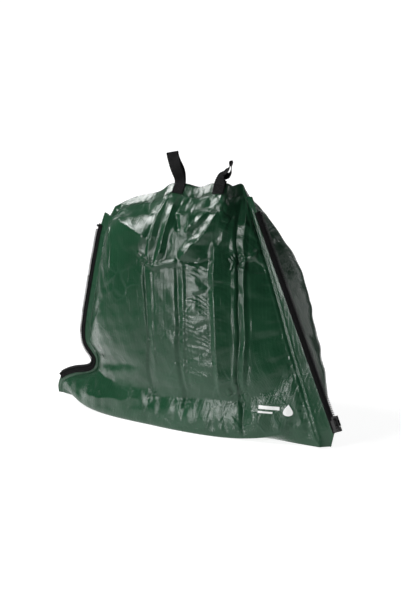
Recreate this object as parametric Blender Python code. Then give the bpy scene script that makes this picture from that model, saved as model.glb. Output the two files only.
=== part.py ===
"""A standing tree watering bag: two fabric panels, two open zip halves, two webbing handles.

Metres, +Z up. X runs along the bag's width, -Y is the front. The origin is on the ground, in the
middle of the bag's footprint.
"""

import math

import bmesh
import bpy
from mathutils import Matrix, Vector

# Fabric
SKIN = 0.0012  # panel thickness
LAYER_GAP = 0.0003  # between pieces that lie on each other

# Heights of the filled bag
TOP_Z = 0.634  # top edge between the handles
BAND_HEIGHT = 0.036  # hem band round the mouth
BAND_THICK = 0.0009
MOUTH_HALF_GAP = 0.0095

# Zip: a size 10 moulded chain
TAPE_THICK = 0.0009
TAPE_LAP = 0.009  # tape sewn over the flange
TAPE_REACH = 0.010  # panel edge to the chain's bead
TOOTH_PITCH = 0.0050
TOOTH_HALF = 0.0021  # half the thickness of the chain
BEAD_IN, BEAD_OUT, TOOTH_OUT = -0.0012, 0.0008, 0.0040  # across the chain
BOX_LENGTH = 0.012
SLIDER_LENGTH = 0.026
SLIDER_PLATE = 0.0016
SLIDER_WIDTH = (-0.0052, 0.0100)
ZIP_LENGTH = 0.576

# Webbing
WEB_WIDTH = 0.032
WEB_THICK = 0.0014
AXIS_RISE = 0.0032  # handle fold line above the band's top edge

# Right zip: a straight line that the slider runs up, and the way its tape points outward
RIGHT_LINE = (Vector((0.4623, -0.0804, 0.0475)), Vector((0.2202, -0.0582, 0.5860)))
RIGHT_OUT = Vector((math.cos(math.radians(14)), -math.sin(math.radians(14)), 0.0))
RIGHT_WELD = [
    (0.419, -0.090, 0.004),
    (0.370, -0.082, 0.127),
    (0.317, -0.074, 0.261),
    (0.271, -0.065, 0.387),
    (0.182, -0.049, 0.606),
]

# Left zip: from the corner lobe on the ground, over the fold above it and up to the shoulder
LEFT_LINE = [
    (-0.476, -0.046, 0.004),
    (-0.476, -0.047, 0.030),
    (-0.460, -0.050, 0.060),
    (-0.427, -0.054, 0.080),
    (-0.388, -0.058, 0.094),
    (-0.351, -0.062, 0.102),
    (-0.327, -0.066, 0.111),
    (-0.318, -0.068, 0.126),
    (-0.330, -0.070, 0.143),
    (-0.347, -0.071, 0.166),
    (-0.353, -0.072, 0.200),
    (-0.345, -0.072, 0.260),
    (-0.320, -0.072, 0.370),
    (-0.304, -0.072, 0.435),
    (-0.287, -0.072, 0.500),
    (-0.265, -0.072, 0.556),
]
LEFT_FLANGE = (0.016, 0.028)  # weld line to panel edge, on the lobe and above it
LEFT_ZIP_START = 0.060  # along the line

# Middle section of each panel from the bottom seam to the hem: distance from the seam plane, height
FRONT_SECTION = [
    (0.000, 0.000),
    (0.040, 0.000),
    (0.086, 0.000),
    (0.093, 0.008),
    (0.091, 0.040),
    (0.074, 0.096),
    (0.083, 0.140),
    (0.094, 0.240),
    (0.098, 0.340),
    (0.094, 0.440),
    (0.078, 0.520),
    (0.045, 0.575),
    (0.014, 0.612),
    (0.000, 0.634),
]
BACK_SECTION = [
    (0.000, 0.000),
    (0.090, 0.000),
    (0.165, 0.000),
    (0.198, 0.018),
    (0.222, 0.080),
    (0.235, 0.170),
    (0.240, 0.270),
    (0.233, 0.360),
    (0.205, 0.445),
    (0.150, 0.520),
    (0.075, 0.575),
    (0.018, 0.612),
    (0.000, 0.634),
]
# Top edge from the left shoulder to the right: x, y, z
HEM_LINE = [
    (-0.220, -0.072, 0.568),
    (-0.148, -0.074, 0.596),
    (-0.064, -0.076, 0.613),
    (-0.021, -0.077, 0.634),
    (0.013, -0.077, 0.634),
    (0.061, -0.076, 0.626),
    (0.101, -0.073, 0.637),
    (0.135, -0.073, 0.637),
    (0.146, -0.058, 0.630),
    (0.158, -0.034, 0.636),
    (0.172, -0.040, 0.620),
    (0.182, -0.049, 0.606),
]
SECTION_LENGTH = {-1: 0.74, 1: 0.95}  # along each panel's middle section, by side
SIDE_COLUMNS = 2  # of each flange, outside the weld line
PANEL_COLUMNS = 22
PANEL_ROWS = 22
NOTCH = (0.18, 0.40)  # share of the height where the left side folds, with closer rows

COLOURS = {
    "green": ((0.03, 0.12, 0.06, 1), 0.3, 0.0),
    "web": ((0.012, 0.012, 0.013, 1), 0.8, 0.0),
    "tape": ((0.012, 0.011, 0.014, 1), 0.85, 0.0),
    "plastic": ((0.015, 0.015, 0.016, 1), 0.4, 0.0),
    "thread": ((0.02, 0.03, 0.02, 1), 0.8, 0.0),
}


def clear_scene():
    for obj in list(bpy.data.objects):
        bpy.data.objects.remove(obj)


def material(name):
    found = bpy.data.materials.get(name)
    if found:
        return found
    colour, roughness, metallic = COLOURS[name]
    made = bpy.data.materials.new(name)
    made.use_nodes = True
    shader = made.node_tree.nodes["Principled BSDF"]
    shader.inputs["Base Color"].default_value = colour
    shader.inputs["Roughness"].default_value = roughness
    shader.inputs["Metallic"].default_value = metallic
    return made


def add_object(name, bm, material_name, parent=None):
    """Makes an object from world-space geometry, under an empty that stands on its joint's axis."""
    bmesh.ops.recalc_face_normals(bm, faces=bm.faces)
    mesh = bpy.data.meshes.new(name)
    if parent:
        bm.transform(parent.matrix_world.inverted())
    bm.to_mesh(mesh)
    bm.free()
    mesh.shade_smooth()
    mesh.set_sharp_from_angle(angle=math.radians(35))
    mesh.materials.append(material(material_name))
    obj = bpy.data.objects.new(name, mesh)
    bpy.context.scene.collection.objects.link(obj)
    obj.parent = parent
    return obj


def add_empty(name, location, parent=None):
    empty = bpy.data.objects.new(name, None)
    bpy.context.scene.collection.objects.link(empty)
    empty.parent = parent
    empty.location = location if parent is None else parent.matrix_world.inverted() @ location
    bpy.context.view_layer.update()
    return empty


def smooth_line(points, t):
    """Point at share t of the length of a curve through the points."""
    points = [Vector(p) for p in points]
    lengths = [(b - a).length for a, b in zip(points, points[1:])]
    left = max(0.0, min(1.0, t)) * sum(lengths)
    i = 0
    while i < len(lengths) - 1 and left > lengths[i]:
        left -= lengths[i]
        i += 1
    s = min(1.0, left / lengths[i])
    p1, p2 = points[i], points[i + 1]
    p0 = points[i - 1] if i else p1 * 2 - p2
    p3 = points[i + 2] if i + 2 < len(points) else p2 * 2 - p1
    return 0.5 * (
        2 * p1 + (p2 - p0) * s + (2 * p0 - 5 * p1 + 4 * p2 - p3) * s**2
        + (3 * p1 - p0 - 3 * p2 + p3) * s**3
    )


LEFT_LENGTH = sum((Vector(b) - Vector(a)).length for a, b in zip(LEFT_LINE, LEFT_LINE[1:]))


def ease(low, high, value):
    t = max(0.0, min(1.0, (value - low) / (high - low)))
    return t * t * (3 - 2 * t)


def right_weld(v):
    return smooth_line(RIGHT_WELD, v)


def right_edge(v):
    """Outer edge of the right flange, as (lap line, edge); its bottom corner is cut off."""
    low, high = RIGHT_LINE
    point = low + (high - low) * ((right_weld(v).z - low.z) / (high.z - low.z))
    cut = 0.033 * max(0.0, 1 - v / 0.075)
    edge = point - RIGHT_OUT * (TAPE_REACH + cut)
    lap = point - RIGHT_OUT * (TAPE_REACH + TAPE_LAP + 0.001 + cut * 0.8)
    return lap, edge


def left_line(length):
    """Point on the left chain's line and the way its tape points outward."""
    share = length / LEFT_LENGTH
    point = smooth_line(LEFT_LINE, share)
    along = (smooth_line(LEFT_LINE, share + 0.004) - smooth_line(LEFT_LINE, share - 0.004)).normalized()
    return point, along, Vector((-along.z, 0.0, along.x)).normalized()


def left_flange(v):
    """Panel edge, lap line and weld line of the left side."""
    point, _, out = left_line(v * LEFT_LENGTH)
    width = LEFT_FLANGE[0] + (LEFT_FLANGE[1] - LEFT_FLANGE[0]) * ease(0.22, 0.5, v)
    edge = point - out * TAPE_REACH
    return edge, edge - out * (TAPE_LAP + 0.001), edge - out * width


def left_weld(v):
    return left_flange(v)[2]


def hem_point(u):
    return smooth_line(HEM_LINE, (u + 1) / 2)


def mouth_half_gap(u):
    """The mouth is open between and just past the handles, and welded shut beyond."""
    return LAYER_GAP + MOUTH_HALF_GAP * ease(-0.42, -0.10, u) * ease(0.86, 0.62, u)


def panel_point(side, u, v):
    """Inner face of a panel. side is -1 at the front and 1 at the back, u runs from weld to weld, v up."""
    left, right = left_weld(v), right_weld(v)
    flat = left.lerp(right, (u + 1) / 2)
    section = FRONT_SECTION if side < 0 else BACK_SECTION
    middle = smooth_line([(d, 0, z) for d, z in section], v)
    if side < 0:
        crown = 1 - abs(u + 0.15 * (1 - u * u)) ** 2.8
        spread = 0.0
    else:
        crown = max(0.0, 1 - abs(u) ** 2.6) ** (1 / 2.3)
        spread = 0.15 * abs(u) ** 6 * (1 - abs(u) ** 10) * min(1.0, middle.x / 0.2) * ease(0.99, 0.88, v)
        spread *= 1.0 if u > 0 else 0.3
    lift = 1 - abs(u) ** 5
    made = Vector((
        flat.x + math.copysign(spread, u),
        flat.y + side * (middle.x * crown),
        flat.z + (max(middle.z, 0.0) - flat.z) * lift,
    ))
    top_flat = left_weld(1).lerp(right_weld(1), (u + 1) / 2)
    top_made = Vector((top_flat.x, top_flat.y, top_flat.z + (TOP_Z - top_flat.z) * lift))
    made += (hem_point(u) - top_made) * ease(0.72, 1.0, v)
    made.y += side * (LAYER_GAP + (mouth_half_gap(u) - LAYER_GAP) * ease(0.80, 0.98, v))
    made.z += SKIN
    return made


def panel_columns():
    """Shares u of the panel's mesh columns, with one on each side of both handles."""
    edges = [hem_u(x + half * WEB_WIDTH / 2) for x in (LEFT_HANDLE_X, RIGHT_HANDLE_X) for half in (-1, 1)]
    even = [math.sin(math.pi / 2 * (2 * i / PANEL_COLUMNS - 1)) for i in range(PANEL_COLUMNS + 1)]
    kept = [u for u in even if all(abs(u - edge) > 0.05 for edge in edges)]
    return sorted(kept + edges), edges


def flange_points(end, v, below, above):
    """Points of a flange outward from the weld, with normals that point to the back."""
    rows = []
    for share in (v, below, above):
        edge_first = left_flange(share)[:2] if end < 0 else right_edge(share)[::-1]
        rows.append(edge_first[::-1])
    here, low, high = rows
    normal = (here[1] - here[0]).cross(high[1] - low[1]).normalized()
    if normal.y < 0:
        normal = -normal
    return [(point, normal) for point in here]


def panel_grid(side):
    """Rows of (point, normal) on a panel's inner face, and the places of the columns in a row."""
    columns, edges = panel_columns()
    band_row = 1 - BAND_HEIGHT / SECTION_LENGTH[side]
    shares = [band_row * j / PANEL_ROWS for j in range(PANEL_ROWS + 1)]
    notch = [(a + b) / 2 for a, b in zip(shares, shares[1:]) if NOTCH[0] < a < NOTCH[1]]
    shares = sorted(shares + notch) + [(band_row + 1) / 2, 1.0]
    grid = []
    for j, v in enumerate(shares):
        low, high = shares[max(j - 1, 0)], shares[min(j + 1, len(shares) - 1)]
        left, right = flange_points(-1, v, low, high), flange_points(1, v, low, high)
        body = [panel_point(side, u, v) for u in columns]
        below = [panel_point(side, u, low) for u in columns]
        above = [panel_point(side, u, high) for u in columns]
        made = []
        for i, point in enumerate(body):
            across = body[min(i + 1, len(body) - 1)] - body[max(i - 1, 0)]
            made.append((point, across.cross(above[i] - below[i]).normalized() * -side))
        for i, flange in ((0, left), (-1, right)):
            made[i] = (made[i][0], (made[i][1] + flange[0][1] * side).normalized())
        drop = Vector((0, 0, SKIN))
        left = [(p + n * side * LAYER_GAP + drop, n * side) for p, n in left]
        right = [(p + n * side * LAYER_GAP + drop, n * side) for p, n in right]
        grid.append(left[::-1] + made + right)
    places = {round(u, 6): SIDE_COLUMNS + i for i, u in enumerate(columns)}
    return grid, places, edges


def shell(bm, grid, low, high):
    """A closed solid over a grid of (point, normal), from one height above it to another."""
    layers = [[[bm.verts.new(p + n * height) for p, n in row] for row in grid] for height in (low, high)]
    last_row, last = len(grid) - 1, len(grid[0]) - 1
    for layer in layers:
        for a, b in zip(layer, layer[1:]):
            for i in range(last):
                bm.faces.new((a[i], a[i + 1], b[i + 1], b[i]))
    rim = [(0, i) for i in range(last)] + [(j, last) for j in range(last_row)]
    rim += [(last_row, i) for i in range(last, 0, -1)] + [(j, 0) for j in range(last_row, 0, -1)]
    for a, b in zip(rim, rim[1:] + rim[:1]):
        bm.faces.new([layers[k][r][c] for k, (r, c) in ((0, a), (0, b), (1, b), (1, a))])


def build_panel(name, side):
    """A panel with its side flanges, one skin thick."""
    bm = bmesh.new()
    grid, _, _ = panel_grid(side)
    shell(bm, grid, 0.0, SKIN)
    return add_object(name, bm, "green")


def sew_on(name, side, first, last, low, high, material_name, margin=0.0):
    """A strip that lies on the top of a panel between two of its columns."""
    grid, _, _ = panel_grid(side)
    rows = [row[first:last + 1] for row in grid[-3:]]
    if margin:
        middle = (rows[0][0][0] + rows[-1][-1][0]) / 2
        rows = [[(p.lerp(middle, margin), n) for p, n in row] for row in rows]
    bm = bmesh.new()
    shell(bm, rows, low, high)
    return add_object(name, bm, material_name)


def swept_band(bm, stations):
    """A closed solid through four-cornered stations, capped at both ends."""
    rings = [[bm.verts.new(p) for p in corners] for corners in stations]
    for low, high in zip(rings, rings[1:]):
        for i in range(4):
            bm.faces.new((low[i], low[(i + 1) % 4], high[(i + 1) % 4], high[i]))
    bm.faces.new(rings[0][::-1])
    bm.faces.new(rings[-1])


def station(point, out, normal, low, high, back, front):
    """Corners of a section: low to high along out, back to front along normal."""
    return [
        point + out * low + normal * back,
        point + out * high + normal * back,
        point + out * high + normal * front,
        point + out * low + normal * front,
    ]


def zip_frame(side, s):
    """Place and directions of the zip at length s above its lower end: point, along, out, back."""
    if side > 0:
        start, end = RIGHT_LINE
        along = (end - start).normalized()
        point, out = start + along * s, RIGHT_OUT
    else:
        point, along, out = left_line(LEFT_ZIP_START + s)
    point = point + Vector((0, 0, SKIN))
    out = (out - along * out.dot(along)).normalized()
    back = along.cross(out).normalized()
    return point, along, out, back if back.y > 0 else -back


def steps(low, high, spacing):
    count = max(1, round((high - low) / spacing))
    return [low + (high - low) * i / count for i in range(count + 1)]


def tape_offset():
    """How far behind the seam plane the tape lies: past the back panel's flange."""
    return SKIN + 2.4 * LAYER_GAP


def build_tape(name, side):
    bm = bmesh.new()
    behind = tape_offset()
    sections = []
    for s in steps(0.0, ZIP_LENGTH, ZIP_LENGTH if side > 0 else 0.0036):
        point, _, out, back = zip_frame(side, s)
        sections.append(station(point + back * behind, out, back,
                                -TAPE_REACH - TAPE_LAP, BEAD_IN - LAYER_GAP, 0.0, TAPE_THICK))
    swept_band(bm, sections)
    return add_object(name, bm, "tape")


def build_teeth(name, side):
    """A bead with a row of moulded teeth, which taper towards their tips."""
    bm = bmesh.new()
    centre = tape_offset() + TAPE_THICK / 2
    sections = []

    def add(s, reach):
        point, _, out, back = zip_frame(side, s)
        sections.append(station(point + back * centre, out, back, BEAD_IN, reach, -TOOTH_HALF, TOOTH_HALF))

    s = BOX_LENGTH + LAYER_GAP if side > 0 else 0.014 + LAYER_GAP
    last = ZIP_LENGTH - 0.012
    while s + TOOTH_PITCH < last:
        add(s, BEAD_OUT)
        add(s + 0.0006, TOOTH_OUT)
        add(s + 0.0030, TOOTH_OUT)
        add(s + 0.0036, BEAD_OUT)
        s += TOOTH_PITCH
    add(s, BEAD_OUT)
    swept_band(bm, sections)
    return add_object(name, bm, "plastic")


def zip_block(name, side, low, high, across, half, behind=None):
    """A straight block on the zip's line: stop, box or pin."""
    bm = bmesh.new()
    centre = tape_offset() + TAPE_THICK / 2 if behind is None else behind
    sections = []
    for s in steps(low, high, 0.003 if side < 0 else high - low):
        point, _, out, back = zip_frame(side, s)
        sections.append(station(point + back * centre, out, back, *across, -half, half))
    swept_band(bm, sections)
    made = add_object(name, bm, "plastic")
    bevel = made.modifiers.new("Bevel", "BEVEL")
    bevel.width = min(0.0008, half * 0.5)
    bevel.segments = 1
    return made


def build_stitching(name, side):
    """Lockstitch seam that holds the tape to the flange, as one continuous thread ridge."""
    bm = bmesh.new()
    behind = tape_offset() + TAPE_THICK + LAYER_GAP
    sections = []
    for s in steps(0.004, ZIP_LENGTH - 0.004, ZIP_LENGTH if side > 0 else 0.006):
        point, _, out, back = zip_frame(side, s)
        middle = -TAPE_REACH - TAPE_LAP * 0.5
        low, high = middle - 0.0005, middle + 0.0005
        sections.append(station(point + back * behind, out, back, low, high, 0.0, 0.0006))
    swept_band(bm, sections)
    return add_object(name, bm, "thread")


def box_between(bm, frame, out, back, along):
    """A box in the slider's frame; each argument after the frame is a (low, high) pair."""
    origin, axes = frame
    corners = [
        origin + axes[0] * x + axes[1] * y + axes[2] * z
        for x in out for y in back for z in along
    ]
    verts = [bm.verts.new(p) for p in corners]
    for quad in ((0, 1, 3, 2), (4, 6, 7, 5), (0, 4, 5, 1), (2, 3, 7, 6), (0, 2, 6, 4), (1, 5, 7, 3)):
        bm.faces.new([verts[i] for i in quad])


def slider_frame():
    point, along, out, back = zip_frame(1, BOX_LENGTH + 2 * LAYER_GAP)
    origin = point + back * (tape_offset() + TAPE_THICK / 2)
    return origin, (out, back, along)


def union_object(name, frame, boxes, material_name, parent):
    """One closed solid from boxes that overlap each other."""
    first = None
    for i, (out, back, along) in enumerate(boxes):
        bm = bmesh.new()
        box_between(bm, frame, out, back, along)
        obj = add_object(name if i == 0 else f"{name}_tool_{i}", bm, material_name, parent)
        if i == 0:
            first = obj
            continue
        obj.hide_render = True
        obj.display_type = "WIRE"
        join = first.modifiers.new(f"Join {i}", "BOOLEAN")
        join.operation = "UNION"
        join.solver = "EXACT"
        join.object = obj
    return first


def build_slider(parent):
    inner = TOOTH_HALF + 0.0006
    outer = inner + SLIDER_PLATE
    low, high = SLIDER_WIDTH
    lip = TAPE_THICK / 2 + 0.0005
    length = (0.0, SLIDER_LENGTH)
    boxes = [
        ((low, high), (-outer, -inner), length),
        ((low, high), (inner, outer), length),
        ((0.0058, high - 0.0008), (-inner - 0.0004, inner + 0.0004), (0.016, 0.0252)),  # wedge post
    ]
    for sign in (-1, 1):
        lips = sorted((sign * lip, sign * (inner + 0.0004)))
        boxes.append(((low + 0.0002, low + 0.0016), lips, (0.0004, SLIDER_LENGTH - 0.0004)))
    bridge = -outer - 0.0042
    boxes += [
        ((0.0, 0.0050), (bridge, -outer + 0.0004), (0.0030, 0.0052)),
        ((0.0, 0.0050), (bridge, -outer + 0.0004), (0.0198, 0.0220)),
        ((0.0001, 0.0049), (bridge - 0.0014, bridge + 0.0004), (0.0030, 0.0220)),
    ]
    return union_object("zip_slider_body", slider_frame(), boxes, "plastic", parent)


def pull_axis():
    """The bridge end that the pull tab's eye turns about."""
    origin, (out, back, along) = slider_frame()
    outer = TOOTH_HALF + 0.0006 + SLIDER_PLATE
    return origin + out * 0.0025 - back * (outer + 0.0021) + along * 0.0176, out


def build_pull_tab(parent):
    """Eye round the bridge, with the tab far enough in front to swing clear of the bridge's end."""
    origin, axes = slider_frame()
    outer = TOOTH_HALF + 0.0006 + SLIDER_PLATE
    front = -outer - 0.0042 - 0.0014
    boxes = [
        ((-0.0020, 0.0070), (front - 0.0040, front - 0.0022), (-0.0100, 0.0190)),
        ((-0.0020, -0.0006), (front - 0.0026, -outer - 0.0006), (0.0162, 0.0190)),
        ((0.0056, 0.0070), (front - 0.0026, -outer - 0.0006), (0.0162, 0.0190)),
        ((-0.0019, 0.0069), (-outer - 0.0026, -outer - 0.0007), (0.0163, 0.0189)),
        ((-0.0032, 0.0082), (front - 0.0044, front - 0.0021), (-0.0098, -0.0040)),
    ]
    return union_object("zip_pull_tab", (origin, axes), boxes, "plastic", parent)


def build_hem_band(name, side):
    """Strip along the top edge of one panel, on its outside."""
    _, places, _ = panel_grid(side)
    ends = sorted(places.values())
    low = SKIN + LAYER_GAP
    return sew_on(name, side, ends[2], ends[-3], low, low + BAND_THICK, "green")


# Handles: the loop's middle line above its fold, each with the way its width points
LEFT_LOOP = [
    ((0.000, 0.000, 0.000), (1.0, 0.0, 0.0)),
    ((-0.001, -0.001, 0.014), (1.0, 0.0, 0.03)),
    ((-0.006, -0.002, 0.030), (0.98, 0.0, 0.10)),
    ((-0.015, -0.003, 0.050), (0.95, 0.05, 0.10)),
    ((-0.021, -0.003, 0.066), (0.92, 0.12, -0.20)),
    ((-0.023, -0.003, 0.076), (0.85, 0.20, -0.50)),
]
RIGHT_LOOP = [
    ((0.000, 0.000, 0.000), (1.0, 0.0, 0.0)),
    ((0.001, 0.001, 0.009), (0.98, -0.15, 0.05)),
    ((0.008, 0.002, 0.017), (0.84, -0.50, 0.05)),
    ((0.015, 0.003, 0.021), (0.50, -0.86, 0.0)),
    ((0.022, 0.004, 0.029), (0.32, -0.94, 0.0)),
    ((0.026, 0.004, 0.040), (0.30, -0.95, 0.0)),
    ((0.027, 0.004, 0.052), (0.36, -0.93, 0.0)),
]
LEFT_HANDLE_X, RIGHT_HANDLE_X = 0.008, 0.126
LEG_HALF_GAP = 0.0016


def hem_u(x):
    """The share u of the hem line at a place x."""
    low, high = -1.0, 1.0
    for _ in range(40):
        middle = (low + high) / 2
        if hem_point(middle).x < x:
            low = middle
        else:
            high = middle
    return (low + high) / 2


def handle_base(x):
    """Top of the front panel at the handle: the fold line passes above this."""
    first, last = sorted(handle_columns(x))
    grid, _, _ = panel_grid(-1)
    tops = [point for point, _ in grid[-1][first:last + 1]]
    middle = (tops[0] + tops[-1]) / 2
    return Vector((middle.x, middle.y - SKIN / 2, max(point.z for point in tops) + AXIS_RISE))


def loop_path(spine, half_gap):
    """Points round a loop of webbing: up its front leg, over the end and down its back leg."""
    places = [Vector(p) for p, _ in spine]
    count = 12
    middle = [smooth_line(places, i / count) for i in range(count + 1)]
    across = [smooth_line([w for _, w in spine], i / count).normalized() for i in range(count + 1)]
    legs = []
    for i, point in enumerate(middle):
        along = (middle[min(i + 1, count)] - middle[max(i - 1, 0)]).normalized()
        width = (across[i] - along * across[i].dot(along)).normalized()
        normal = along.cross(width).normalized()
        share = i / count
        opening = half_gap + 0.0054 * math.sin(math.pi * min(1.0, share * 1.15)) ** 2
        legs.append((point, width, normal, along, opening))
    front = [(p - n * g if n.y > 0 else p + n * g, w) for p, w, n, _, g in legs]
    back = [(p + n * g if n.y > 0 else p - n * g, w) for p, w, n, _, g in legs]
    point, width, normal, along, opening = legs[-1]
    normal = normal if normal.y > 0 else -normal
    over = []
    for k in range(1, 6):
        angle = math.pi * k / 6
        over.append((point - normal * opening * math.cos(angle) + along * opening * math.sin(angle), width))
    return front + over + back[::-1]


def build_handle(side_name, x, spine, parent):
    """The free loop of one handle. It turns about the fold line at its foot."""
    base = handle_base(x)
    path = loop_path(spine, LEG_HALF_GAP)
    bm = bmesh.new()
    sections = []
    for i, (point, width) in enumerate(path):
        along = path[min(i + 1, len(path) - 1)][0] - path[max(i - 1, 0)][0]
        normal = along.cross(width).normalized()
        sections.append(station(base + point, width, normal, -WEB_WIDTH / 2, WEB_WIDTH / 2,
                                -WEB_THICK / 2, WEB_THICK / 2))
    swept_band(bm, sections)
    return add_object(f"handle_{side_name}_loop", bm, "web", parent)


def handle_columns(x):
    _, places, edges = panel_grid(-1)
    return [places[round(u, 6)] for u in sorted(edges, key=lambda u: abs(hem_point(u).x - x))[:2]]


def build_handle_tails(side_name, x):
    """The sewn ends of a handle: one outside the front band, one inside the mouth."""
    first, last = sorted(handle_columns(x))
    front = SKIN + 2 * LAYER_GAP + BAND_THICK
    sew_on(f"handle_{side_name}_front_tail", -1, first, last, front, front + WEB_THICK, "web")
    sew_on(f"handle_{side_name}_back_tail", -1, first, last, -LAYER_GAP - WEB_THICK, -LAYER_GAP, "web")


def build_handle_stitching(side_name, x):
    """Box stitch through the front tail, as a raised frame of thread."""
    first, last = sorted(handle_columns(x))
    grid, _, _ = panel_grid(-1)
    lift = SKIN + 4.5 * LAYER_GAP + BAND_THICK + WEB_THICK
    corners = [grid[row][column] for row, column in ((-3, first), (-3, last), (-1, last), (-1, first))]
    normal = sum((n for _, n in corners), Vector()).normalized()
    lifted = [p + n * lift for p, n in corners]
    middle = sum(lifted, Vector()) / 4
    between = [p + n * lift for p, n in grid[-2][first:last + 1]]
    bulge = max((p - middle).dot(normal) for p in between)
    centre = middle + normal * max(0.0, bulge)
    bm = bmesh.new()
    rings = []
    for share in (0.80, 0.73):
        ring = [centre + (p - middle - normal * (p - middle).dot(normal)) * share for p in lifted]
        rings.append([(bm.verts.new(p), bm.verts.new(p + normal * 0.0006)) for p in ring])
    outer, inner = rings
    for i in range(4):
        k = (i + 1) % 4
        bm.faces.new((outer[i][0], outer[k][0], inner[k][0], inner[i][0]))
        bm.faces.new((outer[i][1], outer[k][1], inner[k][1], inner[i][1]))
        bm.faces.new((outer[i][0], outer[k][0], outer[k][1], outer[i][1]))
        bm.faces.new((inner[i][0], inner[k][0], inner[k][1], inner[i][1]))
    return add_object(f"handle_{side_name}_stitching", bm, "thread")


def build_drip_emitter(side_name, x):
    """A drip nozzle low in the back panel, with the welded patch it sits in."""
    grid, _, _ = panel_grid(1)
    row = 8
    middles = [(a[0].x + b[0].x) / 2 for a, b in zip(grid[row], grid[row][1:])]
    column = min(range(len(middles)), key=lambda i: abs(middles[i] - x))
    quad = [grid[row + j][column + i] for j, i in ((0, 0), (0, 1), (1, 1), (1, 0))]
    normal = sum((n for _, n in quad), Vector()).normalized()
    point = sum((p + n * SKIN for p, n in quad), Vector()) / 4
    rise = max((p + n * SKIN - point).dot(normal) for p, n in quad)
    point += normal * (max(0.0, rise) + LAYER_GAP)
    turn = normal.to_track_quat("Z", "Y").to_matrix().to_4x4()
    start = 0.0
    for name, radius, tip, depth, segments in (
        ("drip_patch", 0.022, 0.0210, 0.0010, 28),
        ("drip_nozzle", 0.007, 0.0042, 0.0070, 16),
    ):
        bm = bmesh.new()
        bmesh.ops.create_cone(
            bm, cap_ends=True, segments=segments, radius1=radius, radius2=tip, depth=depth
        )
        bm.transform(Matrix.Translation(point + normal * (start + depth / 2)) @ turn)
        add_object(f"{name}_{side_name}", bm, "plastic")
        start += depth + LAYER_GAP


def main():
    clear_scene()
    build_panel("front_panel", -1)
    build_panel("back_panel", 1)
    build_hem_band("front_hem_band", -1)
    build_hem_band("back_hem_band", 1)

    for side, name in ((-1, "left"), (1, "right")):
        build_tape(f"zip_tape_{name}", side)
        build_teeth(f"zip_teeth_{name}", side)
        build_stitching(f"zip_stitching_{name}", side)
        zip_block(f"zip_top_stop_{name}", side, ZIP_LENGTH - 0.0110, ZIP_LENGTH - 0.0050,
                  (BEAD_IN, TOOTH_OUT + 0.0006), TOOTH_HALF + 0.0003)
    zip_block("zip_retaining_box", 1, 0.0, BOX_LENGTH, (BEAD_IN, 0.0095), 0.0036)
    zip_block("zip_insertion_pin", -1, 0.0, 0.014, (BEAD_IN, BEAD_OUT + 0.0012), TOOTH_HALF)

    slider_origin, _ = slider_frame()
    slider_empty = add_empty("slider_joint", slider_origin)
    build_slider(slider_empty)
    axis_point, _ = pull_axis()
    pull_empty = add_empty("pull_joint", axis_point, slider_empty)
    build_pull_tab(pull_empty)

    for name, x, spine in (("left", LEFT_HANDLE_X, LEFT_LOOP), ("right", RIGHT_HANDLE_X, RIGHT_LOOP)):
        build_handle(name, x, spine, add_empty(f"handle_{name}_joint", handle_base(x)))
        build_handle_tails(name, x)
        build_handle_stitching(name, x)

    for name, x in (("left", -0.12), ("right", 0.12)):
        build_drip_emitter(name, x)


main()
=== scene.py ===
"""The finished look of the tree watering bag: creased laminated fabric, webbing, zips, light and camera."""

import math
import random

import bmesh
import bpy
import numpy as np
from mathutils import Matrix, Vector
from mathutils.bvhtree import BVHTree


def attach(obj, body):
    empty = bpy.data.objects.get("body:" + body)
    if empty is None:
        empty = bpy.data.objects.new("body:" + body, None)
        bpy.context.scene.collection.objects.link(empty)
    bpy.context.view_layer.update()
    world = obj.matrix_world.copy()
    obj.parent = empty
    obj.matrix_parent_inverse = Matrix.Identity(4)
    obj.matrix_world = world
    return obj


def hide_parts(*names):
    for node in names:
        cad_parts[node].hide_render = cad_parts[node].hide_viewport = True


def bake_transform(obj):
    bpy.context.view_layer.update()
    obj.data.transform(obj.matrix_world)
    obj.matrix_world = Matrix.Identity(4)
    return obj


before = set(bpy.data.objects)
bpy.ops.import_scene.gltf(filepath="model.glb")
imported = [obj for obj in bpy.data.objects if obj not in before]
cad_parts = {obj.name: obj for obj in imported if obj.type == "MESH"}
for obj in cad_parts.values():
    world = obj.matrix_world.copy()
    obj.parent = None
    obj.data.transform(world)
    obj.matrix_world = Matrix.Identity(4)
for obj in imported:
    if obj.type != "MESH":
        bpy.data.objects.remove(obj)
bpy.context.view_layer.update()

# Fabric and trim, metres
TOP_Z = 0.634
SKIN = 0.0006
LAYER_GAP = 0.0003
CAD_SKIN = 0.0012
BAND_HEIGHT = 0.036
MOUTH_HALF_GAP = 0.0095
TAPE_THICK = 0.0009
TAPE_LAP = 0.009
TAPE_REACH = 0.01
ZIP_LENGTH = 0.576
WEB_WIDTH = 0.032
WEB_THICK = 0.0014
SECTION_LENGTH = {-1: 0.74, 1: 0.95}
BAND_OUT = 0.0003 + SKIN + 0.0009  # outer face of the hem band, from the panel's grid
BAND_STEPS = 3  # rows of the band for each row of the panel
TAIL_HEIGHT = 0.031
CAMERA_TURN = math.radians(33)  # round from the front

# Mesh of each panel between its flanges, and of the flanges; side -1 is the front and 1 the back
COLUMNS, ROWS = {-1: 76, 1: 60}, {-1: 60, 1: 56}
LEFT_COLUMNS, RIGHT_COLUMNS = 4, 6
LAP_SHARE = 0.625  # of the right flange's columns, from the weld to the lap line

# Cloth: share of spare length, pressure behind it, and the furthest that a point moves
CLOTH_SPARE, CLOTH_PRESSURE, CLOTH_REACH, CLOTH_FRAMES = 0.008, 1.2, 0.006, 16

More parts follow.
